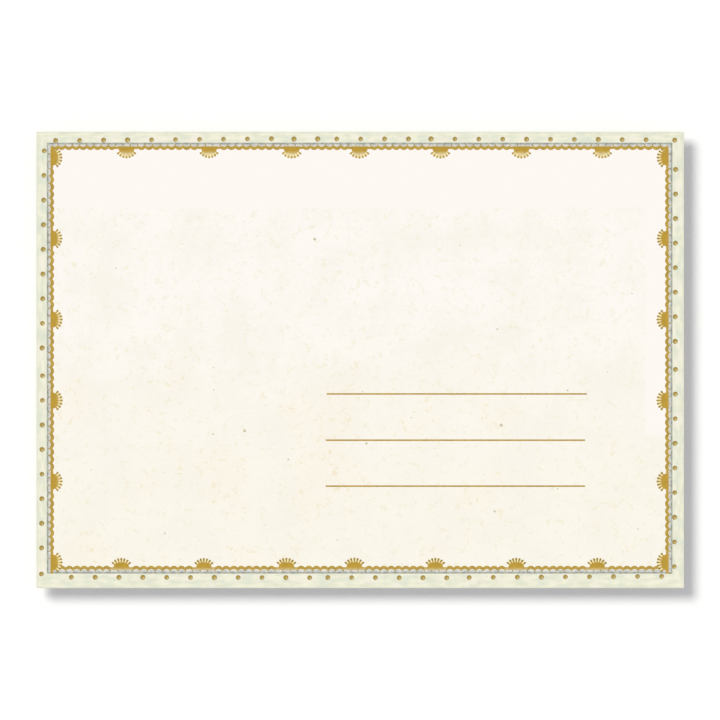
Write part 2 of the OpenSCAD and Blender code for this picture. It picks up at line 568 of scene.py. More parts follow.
def printed_ink(name, pale, deep, roughness=0.55, metallic=0.0):
    """An ink that lies unevenly between two shades."""
    material, tree, shader = new_finish(name, 0.25, metallic)
    lay = use_group(tree, INK_LAY, {"Place": card_place(tree)[0]})
    colour = mix(lay["Patch"] * 0.8 + lay["Grain"] * 0.2, deep, pale)
    dress(tree, shader, colour, lay["Grain"] * 0.2 + (roughness - 0.1), lay["Grain"], 0.006)
    return material


def toned_gold(name, dark, middle, pale):
    """Gold ink that goes from dark through middle to pale with the piece's own tone, which holds its
    print and also the painted glint and shade of beads and the painted sheen of fans.
    """
    material, tree, shader = new_finish(name, 0.2, 0.05)
    lay = use_group(tree, INK_LAY, {"Place": card_place(tree)[0]})
    tone = Field(tree, node(tree, "ShaderNodeAttribute", attribute_name="tone").outputs["Fac"])
    colour = mix(tone.ease(0.0, PLAIN_TONE), dark, middle)
    colour = mix(tone.ease(PLAIN_TONE, 1.0) * 0.85, colour, pale)
    dress(tree, shader, mix(lay["Patch"] * 0.25, colour, dark), lay["Grain"] * 0.2 + 0.5)
    return material


GOLD = printed_ink("gold_print", ink(190, 154, 50), ink(166, 134, 42), 0.6, 0.05)
EDGING_GOLD = printed_ink("edging_gold", ink(192, 159, 66), ink(170, 141, 54), 0.6, 0.05)
FAN_GOLD = toned_gold("fan_gold", ink(150, 126, 52), ink(190, 153, 50), ink(255, 245, 200))
BEAD_GOLD = toned_gold("bead_gold", ink(146, 122, 60), ink(180, 154, 77), ink(240, 226, 180))
RULE_GREY = printed_ink("rule_grey", ink(186, 189, 176), ink(142, 147, 140))
TICK_BROWN = printed_ink("tick_brown", ink(176, 152, 92), ink(152, 130, 74))
TINT_GREY = printed_ink("tint_grey", ink(228, 224, 214), ink(192, 193, 184))
PLAQUE_CREAM = printed_ink("plaque_cream", ink(252, 247, 233), ink(244, 236, 216))
PICTURE_INKS = {
    "red": printed_ink("picture_red", ink(188, 58, 48), ink(158, 40, 38)),
    "green": printed_ink("picture_green", ink(132, 172, 108), ink(98, 144, 88)),
    "cream": printed_ink("picture_cream", ink(253, 247, 230), ink(240, 230, 206)),
    "gold": printed_ink("picture_gold", ink(220, 182, 84), ink(192, 152, 58), 0.45, 0.15),
}


# Flat outlines, in millimetres, as lists of (u, v) that run anticlockwise

def anticlockwise(outline):
    ends = zip(outline, outline[1:] + outline[:1])
    area = sum(u0 * v1 - u1 * v0 for (u0, v0), (u1, v1) in ends)
    return outline if area > 0 else outline[::-1]


def arc(u, v, radius, first, last, steps):
    """Points on a circle from one angle to another, in degrees."""
    angles = (math.radians(first + (last - first) * i / steps) for i in range(steps + 1))
    return [(u + radius * math.cos(a), v + radius * math.sin(a)) for a in angles]


def disc(u, v, radius, sides=32):
    return arc(u, v, radius, 0.0, 360.0, sides)[:-1]


def block(left, bottom, right, top):
    return [(left, bottom), (right, bottom), (right, top), (left, top)]


def star(radius, dent, tips, u=0.0, v=0.0):
    points = []
    for i in range(2 * tips):
        reach = dent if i % 2 else radius
        angle = math.pi / 2 + math.pi * i / tips
        points.append((u + reach * math.cos(angle), v + reach * math.sin(angle)))
    return points


def turned(outline, degrees):
    c, s = math.cos(math.radians(degrees)), math.sin(math.radians(degrees))
    return [(u * c - v * s, u * s + v * c) for u, v in outline]


def flipped(outline):
    return [(-u, v) for u, v in reversed(outline)]


def moved(outline, u, v, scale=1.0):
    return [(u + scale * a, v + scale * b) for a, b in outline]


# Meshes from outlines

def new_mesh(name, points, edges, faces):
    mesh = bpy.data.meshes.new(name)
    mesh.from_pydata(points, edges, faces)
    return mesh


def placed(name, data):
    """A new object in the scene."""
    made = bpy.data.objects.new(name, data)
    bpy.context.scene.collection.objects.link(made)
    return made


def band(here, there, count):
    """Faces between two loops of points, which are numbered from here and from there."""
    onward = [(i + 1) % count for i in range(count)]
    return [[here + i, here + j, there + j, there + i] for i, j in enumerate(onward)]


def plates(name, outlines, top):
    """One thin closed plate for each outline. A top may be one height, or one for each."""
    points, faces = [], []
    tops = top if isinstance(top, list) else [top] * len(outlines)
    for outline, height in zip(outlines, tops):
        loop = anticlockwise(outline)
        count, first = len(loop), len(points)
        points += [(u, v, ROOT) for u, v in loop] + [(u, v, height) for u, v in loop]
        faces.append([first + i for i in reversed(range(count))])
        faces.append([first + count + i for i in range(count)])
        faces += band(first, first + count, count)
    return new_mesh(name, points, [], faces)


def hoop(name, outer, inner, top):
    """A thin closed frame between two outlines that have the same number of points."""
    loops = [
        [(u, v, level) for u, v in anticlockwise(outline)]
        for outline, level in ((outer, ROOT), (outer, top), (inner, top), (inner, ROOT))
    ]
    firsts = [len(outer) * i for i in range(len(loops))]
    faces = []
    for here, there in zip(firsts, firsts[1:] + firsts[:1]):
        faces += band(here, there, len(outer))
    return new_mesh(name, sum(loops, []), [], faces)


def toned(mesh, tone_at):
    """Gives each corner of a mesh its tone for a toned gold."""
    tones = mesh.attributes.new("tone", "FLOAT", "POINT")
    tones.data.foreach_set("value", [tone_at(vertex.co) for vertex in mesh.vertices])
    return mesh


def bead_stamp():
    """A low round bead with a closed foot, and its tone: a pale painted glint, and painted shade that
    grows dark far from it.
    """
    points, bands = [], []
    for ring in range(BEAD_RINGS):
        lift = ring / BEAD_RINGS * math.pi / 2
        reach, height = BEAD_R * math.cos(lift), BEAD_TOP * math.sin(lift)
        bands.append(band(len(points), len(points) + BEAD_SIDES, BEAD_SIDES))
        points += [(u, v, height) for u, v in disc(0.0, 0.0, reach, BEAD_SIDES)]
    crown = [[i, j, len(points)] for i, j, _, _ in bands.pop()]
    points.append((0.0, 0.0, BEAD_TOP))
    foot = list(reversed(range(BEAD_SIDES)))
    mesh = new_mesh("bead", points, [], sum(bands, []) + crown + [foot])
    mesh.shade_smooth()
    glint, fade = Vector(BEAD_GLINT) * BEAD_R, BEAD_FADE * BEAD_R
    return toned(mesh, lambda at: max(0.0, 1.0 - (at.xy - glint).length / fade))


def numeral(text, height, u, v):
    """A number as a thin closed plate, centred on (u, v)."""
    curve = bpy.data.curves.new("numeral", "FONT")
    curve.body = text
    curve.extrude = (GOLD_TOP - ROOT) / 2
    curve.resolution_u = NUMERAL_STEPS
    writing = placed("numeral", curve)
    scene_now = bpy.context.evaluated_depsgraph_get()
    mesh = bpy.data.meshes.new_from_object(writing.evaluated_get(scene_now))
    bpy.data.objects.remove(writing)
    low = Vector(min(p.co[i] for p in mesh.vertices) for i in range(3))
    high = Vector(max(p.co[i] for p in mesh.vertices) for i in range(3))
    scale = height / (high.y - low.y)
    mesh.transform(Matrix.Translation(-(low + high) / 2))
    mesh.transform(Matrix.Diagonal((scale, scale, 1.0, 1.0)))
    mesh.transform(Matrix.Translation((u, v, (GOLD_TOP + ROOT) / 2)))
    return mesh


def joined(name, parts):
    """One mesh from several, each with the number of its ink."""
    whole = bmesh.new()
    for mesh, number in parts:
        mesh.polygons.foreach_set("material_index", [number] * len(mesh.polygons))
        whole.from_mesh(mesh)
        bpy.data.meshes.remove(mesh)
    bmesh.ops.remove_doubles(whole, verts=whole.verts, dist=MERGE)
    mesh = bpy.data.meshes.new(name)
    whole.to_mesh(mesh)
    whole.free()
    return mesh


def fix_to(name, mesh, inks, face, body, slot):
    """Puts flat work on a face as a piece that rides on a body."""
    mesh.transform(face)
    for material in inks:
        mesh.materials.append(material)
    piece = placed(name, mesh)
    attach(piece, body)


# Geometry Nodes trees

def finish_tree(tree, geometry, material, gives):
    real = node(tree, "GeometryNodeRealizeInstances", {"Geometry": geometry}).outputs["Geometry"]
    inked = node(tree, "GeometryNodeSetMaterial", {"Geometry": real, "Material": material})
    feed(tree, gives, inked.outputs["Geometry"])


def stamping_tree():
    """Stamps an ornament on each place, turned by the place's own turn, in slightly uneven sizes."""
    tree, takes, gives = new_group(
        "stamped_ornament", "GeometryNodeTree",
        sockets("Geometry", "Places") | sockets("Object", "Stamp") | sockets("Int", "Seed")
        | sockets("Float", "Smallest", "Largest") | sockets("Material", "Ink"),
        sockets("Geometry", "Ornament"),
    )
    stamp = node(tree, "GeometryNodeObjectInfo", {"Object": takes["Stamp"]}).outputs["Geometry"]
    turn = node(tree, "GeometryNodeInputNamedAttribute", {"Name": "turn"}).outputs["Attribute"]
    rotation = node(tree, "FunctionNodeAxisAngleToRotation", {"Axis": (0, 0, 1), "Angle": turn})
    sizes = {2: takes["Smallest"], 3: takes["Largest"], "Seed": takes["Seed"]}
    spread = node(tree, "FunctionNodeRandomValue", sizes).outputs[1]
    size = node(tree, "ShaderNodeCombineXYZ", {"X": spread, "Y": spread, "Z": 1.0})
    stamped = node(tree, "GeometryNodeInstanceOnPoints", {
        "Points": takes["Places"],
        "Instance": stamp,
        "Rotation": rotation.outputs["Rotation"],
        "Scale": size.outputs["Vector"],
    })
    finish_tree(tree, stamped.outputs["Instances"], takes["Ink"], gives["Ornament"])
    return tree


def edging_tree():
    """A scalloped ribbon on each edge of a path: lobes to the left of its run, in whole numbers.

    The ribbon is wider in its lobes, by its swelling, and flat on top.
    """
    tree, takes, gives = new_group(
        "scalloped_edging", "GeometryNodeTree",
        sockets("Geometry", "Path") | sockets("Int", "Steps") | sockets("Material", "Ink")
        | sockets("Float", "Pitch", "Depth", "Point", "Stroke", "Swelling", "Relief"),
        sockets("Geometry", "Edging"),
    )
    run = node(tree, "GeometryNodeMeshToCurve", {"Mesh": takes["Path"]}).outputs["Curve"]
    length = Field(tree, tree.nodes.new("GeometryNodeSplineLength").outputs["Length"])
    lobes = (length / takes["Pitch"]).math("ROUND")
    stepped = node(tree, "GeometryNodeResampleCurve", {
        "Curve": run,
        "Count": lobes * takes["Steps"] + 1.0,
    }).outputs["Curve"]
    along = Field(tree, tree.nodes.new("GeometryNodeSplineParameter").outputs["Factor"])
    lobe = (along * lobes * math.pi).sine().size().math("POWER", takes["Point"])
    swollen = node(tree, "GeometryNodeSetCurveRadius", {
        "Curve": stepped,
        "Radius": lobe * takes["Swelling"] + 1.0,
    }).outputs["Curve"]
    tangent = tree.nodes.new("GeometryNodeInputTangent").outputs["Tangent"]
    inward = node(tree, "ShaderNodeVectorMath", {0: (0, 0, 1), 1: tangent}, operation="CROSS_PRODUCT")
    swing = {0: inward.outputs[0], "Scale": lobe * takes["Depth"]}
    offset = node(tree, "ShaderNodeVectorMath", swing, operation="SCALE")
    waved = node(tree, "GeometryNodeSetPosition", {
        "Geometry": swollen,
        "Offset": offset.outputs[0],
    }).outputs["Geometry"]
    level = node(tree, "GeometryNodeSetCurveNormal", {"Curve": waved}, mode="Z_UP").outputs["Curve"]
    profile = node(tree, "GeometryNodeCurvePrimitiveQuadrilateral", {
        "Width": takes["Stroke"],
        "Height": takes["Relief"],
    }).outputs["Curve"]
    ribbon = node(tree, "GeometryNodeCurveToMesh", {
        "Curve": level,
        "Profile Curve": profile,
        "Scale": tree.nodes.new("GeometryNodeInputRadius").outputs["Radius"],
        "Fill Caps": True,
    }).outputs["Mesh"]
    at = tree.nodes.new("GeometryNodeInputPosition").outputs["Position"]
    x, y, z = coordinates(tree, at)
    level_z = z.math("SIGN") * takes["Relief"] * 0.5
    levelled = node(tree, "GeometryNodeSetPosition", {
        "Geometry": ribbon,
        "Position": node(tree, "ShaderNodeCombineXYZ", {0: x, 1: y, 2: level_z}).outputs["Vector"],
    }).outputs["Geometry"]
    crisp = node(tree, "GeometryNodeSetShadeSmooth", {"Geometry": levelled, "Shade Smooth": False})
    finish_tree(tree, crisp.outputs["Geometry"], takes["Ink"], gives["Edging"])
    return tree


STAMPING = stamping_tree()
EDGING = edging_tree()


def grown(name, start, tree, sizes):
    """The mesh that a tree grows from a starting mesh."""
    seedling = placed(name, start)
    modifier = seedling.modifiers.new("grow", "NODES")
    modifier.node_group = tree
    for socket in tree.interface.items_tree:
        if socket.in_out == "INPUT" and socket.name in sizes:
            modifier[socket.identifier] = sizes[socket.name]
    scene_now = bpy.context.evaluated_depsgraph_get()
    mesh = bpy.data.meshes.new_from_object(
        seedling.evaluated_get(scene_now), preserve_all_data_layers=True, depsgraph=scene_now
    )
    seedling.modifiers.remove(modifier)
    bpy.data.objects.remove(seedling)
    return mesh


def stamped(name, stamp, places, material, face, slot, uneven):
    """Prints one ornament on every (u, v, turn in degrees), as one piece of the card."""
    smallest, largest, seed = uneven
    start = new_mesh(name, [(u, v, 0.0) for u, v, _ in places], [], [])
    turns = start.attributes.new("turn", "FLOAT", "POINT")
    turns.data.foreach_set("value", [math.radians(turn) for _, _, turn in places])
    die = placed(name + "_stamp", stamp)
    mesh = grown(name, start, STAMPING, {
        "Stamp": die,
        "Smallest": smallest,
        "Largest": largest,
        "Seed": seed,
        "Ink": material,
    })
    bpy.data.objects.remove(die)
    fix_to(name, mesh, [], face, CARD_BODY, slot)


# Border ornaments, of the same kinds on both sides of the card

LEVEL_SIDES = ("top", "bottom")


def even_steps(first, last, count):
    return [first + (last - first) * i / max(count - 1, 1) for i in range(count)]


def even_run(first, last, count):
    """Places in an even row from first to last."""
    return zip(even_steps(first[0], last[0], count), even_steps(first[1], last[1], count))


def inset_by(sides, depth):
    left, bottom, right, top = sides
    return left + depth, bottom + depth, right - depth, top - depth


def side_runs(sides):
    """Both ends of each side, run anticlockwise, with the turn that faces a stamp inward."""
    left, bottom, right, top = sides
    return {
        "bottom": ((left, bottom), (right, bottom), 0.0),
        "right": ((right, bottom), (right, top), 90.0),
        "top": ((right, top), (left, top), 180.0),
        "left": ((left, top), (left, bottom), -90.0),
    }


def fan_stamp(turn):
    """A shell-shaped fan with club-ended rays on a pale web, which stands on v = 0 and points up.

    Its gold has a painted sheen, and turns pale toward its rays or its foot, as the turn that it will
    get asks.
    """
    core = []
    for c, s in arc(0.0, 0.0, 1.0, 0.0, 180.0, 24):
        across = math.copysign(abs(c) ** FAN_SQUARENESS, c)
        core.append((across * FAN_HALF_W, abs(s) ** FAN_SQUARENESS * FAN_DEPTH))
    foot = block(-FAN_REACH, FAN_FOOT[0], FAN_REACH, FAN_FOOT[1])
    root, waist, tip = RAY_HALF_WIDTHS
    ray = [(-waist, RAY_WAIST), (-root, RAY_START), (root, RAY_START), (waist, RAY_WAIST)]
    ray += arc(0.0, RAY_END - tip, tip, 0.0, 180.0, 8)
    middle = (RAY_COUNT - 1) / 2
    rays = [turned(ray, (i - middle) * RAY_STEP) for i in range(RAY_COUNT)]
    spread = middle * RAY_STEP
    web = arc(0.0, 0.0, RAY_END - WEB_INSET, 90.0 - spread, 90.0 + spread, 14)
    tops = [FAN_CORE_TOP, FAN_FOOT_TOP, WEB_TOP] + [GOLD_TOP] * RAY_COUNT
    fan = plates("fan", [core, foot, [(0.0, WEB_FOOT), *web], *rays], tops)
    _, lean = turned([SHEEN_TOWARD], -turn)[0]
    waist_at = math.hypot(waist, RAY_WAIST)

    def tone_at(at):
        if at.z < (WEB_TOP + GOLD_TOP) / 2:
            return 1.0
        tone = PLAIN_TONE
        past_waist = at.xy.length - waist_at
        if at.z < (GOLD_TOP + FAN_FOOT_TOP) / 2 and past_waist > -TOUCH:
            tone = WAIST_TONE if past_waist < TOUCH else 0.0
        return min(tone + SHEEN * lean * (at.y - SHEEN_ZERO), PALEST_TONE)

    return toned(fan, tone_at)


def fan_row(fans, side):
    """The places of the fans along one side."""
    return [along for name, *row in fans if name == side for along in even_steps(*row)]


def edging_runs(line, fans):
    """The lobed runs of an edging on a line, and the runs that its fans take up.

    The edging up a side stops clear of the edgings at its ends.
    """
    left, bottom, right, top = line
    clear = EDGING_STROKE * (1 + EDGING_SWELLING) / 2 + EDGING_DEPTH
    level, upright = side_runs(line), side_runs((left, bottom + clear, right, top - clear))
    lobed, fanned = [], []
    for side in level:
        axis = 0 if side in LEVEL_SIDES else 1
        first, last, turn = (level, upright)[axis][side]
        start, end = Vector(first), Vector(last)
        onward = (end - start).normalized()
        half = onward * FAN_REACH
        ends = [start]
        for along in sorted(fan_row(fans, side), reverse=onward[axis] < 0):
            middle = start.copy()
            middle[axis] = along
            ends += [middle - half, middle + half]
        ends.append(end)
        runs = zip(ends[::2], ends[1::2])
        lobed += [(a, b, turn) for a, b in runs if (b - a).dot(onward) > EDGING_PITCH / 2]
        fanned += [(a, b, turn) for a, b in zip(ends[1::2], ends[2::2])]
    return lobed, fanned


def cusp_places(runs, out, corners):
    """A place at each cusp between the lobes of an edging, out from its run and not at a corner."""
    places = []
    for start, end, turn in runs:
        lobes = round((end - start).length / EDGING_PITCH)
        step = (end - start) / lobes
        outward = Vector((math.sin(math.radians(turn)), -math.cos(math.radians(turn))))
        for cusp in (start + step * i for i in range(lobes)):
            if min((cusp - corner).length for corner in corners) > EDGING_PITCH / 2:
                places.append((*(cusp + outward * out), turn))
    return places


def border(side, face, rule_inset, edging_inset, fans, beads, slot):
    """Rule, tinted strip, scalloped edging with its ticks, fans and beads round one face."""
    rule = inset_sides(rule_inset)
    for piece, inset, width, top, material in (
        ("rule", -RULE_STROKE / 2, RULE_STROKE, INK_TOP, RULE_GREY),
        ("tint", TINT_INSET, TINT_W, TINT_TOP, TINT_GREY),
    ):
        outer, inner = block(*inset_by(rule, inset)), block(*inset_by(rule, inset + width))
        strip = hoop(piece, outer, inner, top)
        fix_to(side + "_" + piece, strip, [material], face, CARD_BODY, slot)

    line = inset_sides(edging_inset)
    lobed, fanned = edging_runs(line, fans)
    tick = plates("tick", [block(-TICK_W / 2, -TICK_H / 2, TICK_W / 2, TICK_H / 2)], TICK_TOP)
    corners = [Vector(first) for first, _, _ in side_runs(line).values()]
    places = cusp_places(lobed + fanned, TICK_OUT, corners)
    stamped(side + "_ticks", tick, places, TICK_BROWN, face, slot, UNEVEN["ticks"])

    ends = [(*end, 0.0) for first, last, _ in lobed for end in (first, last)]
    path = new_mesh("edging", ends, [(i, i + 1) for i in range(0, len(ends), 2)], [])
    edging = grown(side + "_edging", path, EDGING, {
        "Pitch": EDGING_PITCH,
        "Depth": EDGING_DEPTH,
        "Point": EDGING_POINT,
        "Stroke": EDGING_STROKE,
        "Swelling": EDGING_SWELLING,
        "Relief": 2 * EDGING_TOP,
        "Steps": EDGING_STEPS,
        "Ink": EDGING_GOLD,
    })
    fix_to(side + "_edging", edging, [], face, CARD_BODY, slot)

    for name, ((u, v), _, turn) in side_runs(inset_by(rule, FAN_INSET)).items():
        row = fan_row(fans, name)
        places = [(at, v, turn) if name in LEVEL_SIDES else (u, at, turn) for at in row]
        piece = side + "_" + name + "_fans"
        stamped(piece, fan_stamp(turn), places, FAN_GOLD, face, slot, UNEVEN["fans"])

    places = [(u, v, 0.0) for run in beads for u, v in even_run(*run)]
    stamped(side + "_beads", bead_stamp(), places, BEAD_GOLD, face, slot, UNEVEN["beads"])


def calendar_beads():
    """Even runs of beads round the calendar side, each side without its last corner."""
    sides = inset_sides((CALENDAR_BEAD_INSET,) * 4)
    runs = []
    for name, (first, last, _) in side_runs(sides).items():
        count = CALENDAR_BEAD_COUNTS[0 if name in LEVEL_SIDES else 1]
        share = (count - 1) / count
        end = (first[0] + (last[0] - first[0]) * share, first[1] + (last[1] - first[1]) * share)
        runs.append((first, end, count))
    return runs


# Doors

def door_panels():
    """Each door's panel: whether its fold is on the left, then its left, bottom, right and top."""
    panels = {}
    for joint in frame["joints"]:
        name = joint["child"]
        low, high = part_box(name)
        fold = -joint["pos_m"][0] / MM
        folds_left = joint["axis"][2] < 0
        free = -low.x / MM if folds_left else -high.x / MM
        panels[name] = (folds_left, min(fold, free), low.z / MM, max(fold, free), high.z / MM)
    return panels


def panel_outline(panel, inset, radius):
    """A single door's outline, with round corners at its free edge only."""
    folds_left, left, bottom, right, top = panel
    left, bottom, right, top = left + inset, bottom + inset, right - inset, top - inset
    if folds_left:
        rounded = arc(right - radius, bottom + radius, radius, -90.0, 0.0, 6)
        rounded += arc(right - radius, top - radius, radius, 0.0, 90.0, 6)
        return [(left, bottom), *rounded, (left, top)]
    rounded = arc(left + radius, top - radius, radius, 90.0, 180.0, 6)
    rounded += arc(left + radius, bottom + radius, radius, 180.0, 270.0, 6)
    return [(right, top), *rounded, (right, bottom)]


def leaf_outline(panel, inset):
    """One leaf of the arched double door, which is highest beside the middle of the card."""
    folds_left, left, bottom, right, top = panel
    width = max(-left, right)
    radius = width - inset
    spring = top - width
    meeting = min(abs(left), abs(right)) + inset
    steep = math.degrees(math.acos(meeting / radius))
    outline = [(meeting, bottom + inset), (radius, bottom + inset)]
    outline += arc(0.0, spring, radius, 0.0, steep, 16)
    return flipped(outline) if folds_left else outline


def print_door(name, panel):
    """Gold frame, cream plaque and gold number of one door, as a piece that swings with it."""
    _, left, bottom, right, top = panel
    u, v = (left + right) / 2, (bottom + top) / 2
    radius, height, number = PLAQUE_R, NUMERAL_H, str(int(name.split("_")[1]))
    inner_inset = FRAME_INSET + FRAME_STROKE
    if name in GATE_NAMES:
        outer, inner = leaf_outline(panel, FRAME_INSET), leaf_outline(panel, inner_inset)
        radius, height, v = LEAF_PLAQUE_R, LEAF_NUMERAL_H, LEAF_PLAQUE_V
        number = number[GATE_NAMES.index(name)]
    else:
        outer = panel_outline(panel, FRAME_INSET, FRAME_R)
        inner = panel_outline(panel, inner_inset, FRAME_R - FRAME_STROKE)
    parts = [
        (plates("plaque", [disc(u, v, radius)], INK_TOP), 0),
        (hoop("frame", outer, inner, GOLD_TOP), 1),
        (hoop("rim", disc(u, v, radius + PLAQUE_RIM), disc(u, v, radius), GOLD_TOP), 1),
        (numeral(number, height, u, v), 1),
    ]
    piece = name + "_print"
    fix_to(piece, joined(piece, parts), [PLAQUE_CREAM, GOLD], CALENDAR_FACE, name, "door_board")


# Pictures behind the doors: lists of (ink, outline), each laid over the ones before it

def bow(v, ink_name):
    loop = [(0.0, v), (2.7, v + 1.5), (2.7, v - 1.0)]
    return [(ink_name, loop), (ink_name, flipped(loop)), (ink_name, disc(0.0, v, 0.7, 12))]


def heart(size):
    points = []
    for i in range(40):
        t = 2 * math.pi * i / 40
        v = 13 * math.cos(t) - 5 * math.cos(2 * t) - 2 * math.cos(3 * t) - math.cos(4 * t)
        points.append((-size * math.sin(t) ** 3, size * v / 16))
    return points


def fir(width, foot, tip, tiers):
    """Overlapping tiers of a fir, the widest at the foot."""
    step = (tip - foot) / (tiers + 0.6)
    outlines = []
    for i in range(tiers):
        half = width / 2 * (1 - i / (tiers + 0.6))
        low = foot + step * i
        outlines.append([(-half, low), (half, low), (0.0, low + 1.6 * step)])
    return outlines


def snowflake():
    arm = [block(-0.3, 0.0, 0.3, 5.4)]
    twig = block(-0.25, 0.0, 0.25, 2.0)
    arm += [moved(turned(twig, tilt), 0.0, level) for level in (2.0, 3.4) for tilt in (50.0, -50.0)]
    return [("cream", turned(part, 60.0 * i)) for i in range(6) for part in arm]


def wreath():
    """A ring of leaves, with a berry on every other leaf that the bow leaves free."""
    ring = disc(0.0, 0.0, 3.6, 12)
    leaves = [("green", disc(u, v, 1.35, 14)) for u, v in ring]
    berries = [("red", disc(u, v, 0.55, 12)) for u, v in ring[-1:] + ring[1:9:2]]
    return leaves + berries + bow(-3.6, "gold")


def crescent():
    outer = arc(0.0, 0.0, 4.6, 61.0, 299.0, 28)
    inner = arc(2.1, 0.0, 4.0, 271.0, 89.0, 24)
    return outer + inner


BELL = [(-4.2, -3.4), (4.2, -3.4), (3.2, -2.2), (2.8, 0.8), (1.9, 2.8), (0.6, 3.7)]
BOOT = [
    (-2.6, 4.0), (-2.6, -1.2), (-2.2, -3.6), (-0.6, -4.4), (3.4, -4.4),
    (4.3, -3.2), (3.8, -1.9), (1.6, -1.2), (1.4, 4.0),
]
FLAME = [(0.0, 5.4), (-0.9, 3.6), (-0.7, 2.7), (0.0, 2.4), (0.7, 2.7), (0.9, 3.6)]
HOLLY = [(0.2, -4.2), (1.6, -3.2), (3.2, -3.4), (4.6, -4.4), (3.2, -5.0), (1.6, -5.0)]
SMALL_PICTURES = (
    [("gold", star(5.6, 2.4, 5)), ("cream", star(2.8, 1.2, 5))],
    [
        ("red", disc(0.0, -0.9, 4.2)),
        ("cream", block(-4.0, -1.6, 4.0, -0.2)),
        ("gold", block(-0.9, 3.1, 0.9, 4.5)),
        ("gold", star(1.2, 0.5, 5, 0.0, -0.9)),
    ],
    [("gold", BELL + flipped(BELL)), ("gold", disc(0.0, -4.0, 1.0, 16)), *bow(3.9, "red")],
    [
        ("green", HOLLY),
        ("green", flipped(HOLLY)),
        ("cream", block(-1.2, -4.6, 1.2, 2.1)),
        ("gold", FLAME),
        ("red", disc(-0.7, -4.6, 0.7, 12)),
        ("red", disc(0.7, -4.6, 0.7, 12)),
    ],
    [
        ("gold", block(-0.7, -5.2, 0.7, -3.8)),
        *(("green", tier) for tier in fir(8.0, -4.0, 4.6, 3)),
        ("gold", star(1.2, 0.5, 5, 0.0, 4.8)),
        ("red", disc(-1.6, -3.0, 0.55, 12)),
        ("red", disc(1.2, -1.4, 0.55, 12)),
        ("red", disc(-0.4, 0.8, 0.55, 12)),
    ],
    snowflake(),
    [
        ("red", block(-4.2, -4.6, 4.2, 2.6)),
        ("gold", block(-0.7, -4.6, 0.7, 2.6)),
        ("gold", block(-4.2, -1.7, 4.2, -0.5)),
        *bow(3.2, "gold"),
    ],
    [("gold", crescent()), ("cream", star(1.5, 0.6, 5, 2.2, 0.6))],
    [("red", heart(4.8)), ("cream", heart(2.6))],
    [
        ("cream", block(-3.6, -4.6, 3.6, 0.6)),
        ("red", [(-4.7, 0.4), (4.7, 0.4), (0.0, 4.8)]),
        ("gold", block(-2.8, -2.4, -1.2, -0.6)),
        ("gold", block(1.2, -2.4, 2.8, -0.6)),
        ("green", block(-0.8, -4.6, 0.8, -1.8)),
    ],
    wreath(),
    [("red", BOOT), ("cream", block(-3.1, 3.0, 1.9, 5.0)), ("cream", disc(2.6, -3.2, 0.8, 12))],
)


# Parcels under the large fir: left, right and top, paper and ribbon
PARCELS = ((-9.6, -4.2, -14.6, "red", "gold"), (3.8, 9.6, -13.6, "cream", "red"))
PARCEL_FOOT = -19.6
RIBBON_HALF_W = 0.5
BAUBLE_INKS = ("red", "gold", "cream")
BAUBLE_ROWS = 4


def gate_picture():
    """A dressed fir with parcels at its foot, on a bank of snow, behind the double door."""
    bank = [(-14.0, -23.2), (14.0, -23.2), *arc(0.0, -53.8, 35.0, 66.4, 113.6, 16)]
    tree = [("cream", bank), ("gold", block(-1.2, -19.3, 1.2, -13.5))]
    tree += [("green", tier) for tier in fir(19.0, -14.5, 12.5, 5)]
    tree += [("gold", star(2.6, 1.1, 5, 0.0, 13.2))]
    for row in range(BAUBLE_ROWS):
        count = BAUBLE_ROWS - row
        for i in range(count):
            bauble = disc((i - (count - 1) / 2) * 3.6, -12.6 + 5.4 * row, 0.75, 14)
            tree.append((BAUBLE_INKS[(row + i) % len(BAUBLE_INKS)], bauble))
    for left, right, top, paper, ribbon in PARCELS:
        middle = (left + right) / 2
        band = block(middle - RIBBON_HALF_W, PARCEL_FOOT, middle + RIBBON_HALF_W, top)
        tree += [(paper, block(left, PARCEL_FOOT, right, top)), (ribbon, band)]
    return tree


def print_pictures(panels):
    """Every picture on the picture sheet, as one piece for each ink."""
    laid = {name: ([], []) for name in PICTURE_INKS}
    for name, (_, left, bottom, right, top) in panels.items():
        if name == GATE_NAMES[1]:
            continue
        u, v, scale = (left + right) / 2, (bottom + top) / 2, PICTURE_SCALE
        picture = SMALL_PICTURES[int(name.split("_")[1]) % len(SMALL_PICTURES)]
        if name == GATE_NAMES[0]:
            u, scale, picture = 0.0, 1.0, gate_picture()
        for order, (ink_name, outline) in enumerate(picture):
            outlines, tops = laid[ink_name]
            outlines.append(moved(outline, u, v, scale))
            tops.append(INK_TOP + PICTURE_STEP * order)
    for ink_name, (outlines, tops) in laid.items():
        mesh, inks = plates("pictures", outlines, tops), [PICTURE_INKS[ink_name]]
        fix_to("pictures_" + ink_name, mesh, inks, PICTURE_FACE, CARD_BODY, "picture_paper")


# Stage, light and camera

# Picture side, card width and the card's shift to the right in the picture, in pixels
PHOTO_SIDE = 720
CARD_SPAN = 647.5
CARD_SHIFT = 0.25
# Half the stage's side in metres, the backdrop's place in millimetres and the light from all round
STAGE_REACH = 3.0
BACKDROP_GAP = 7.5
AMBIENT = 0.4
# The camera's distance from the address side in metres
CAMERA_DISTANCE = 1.0


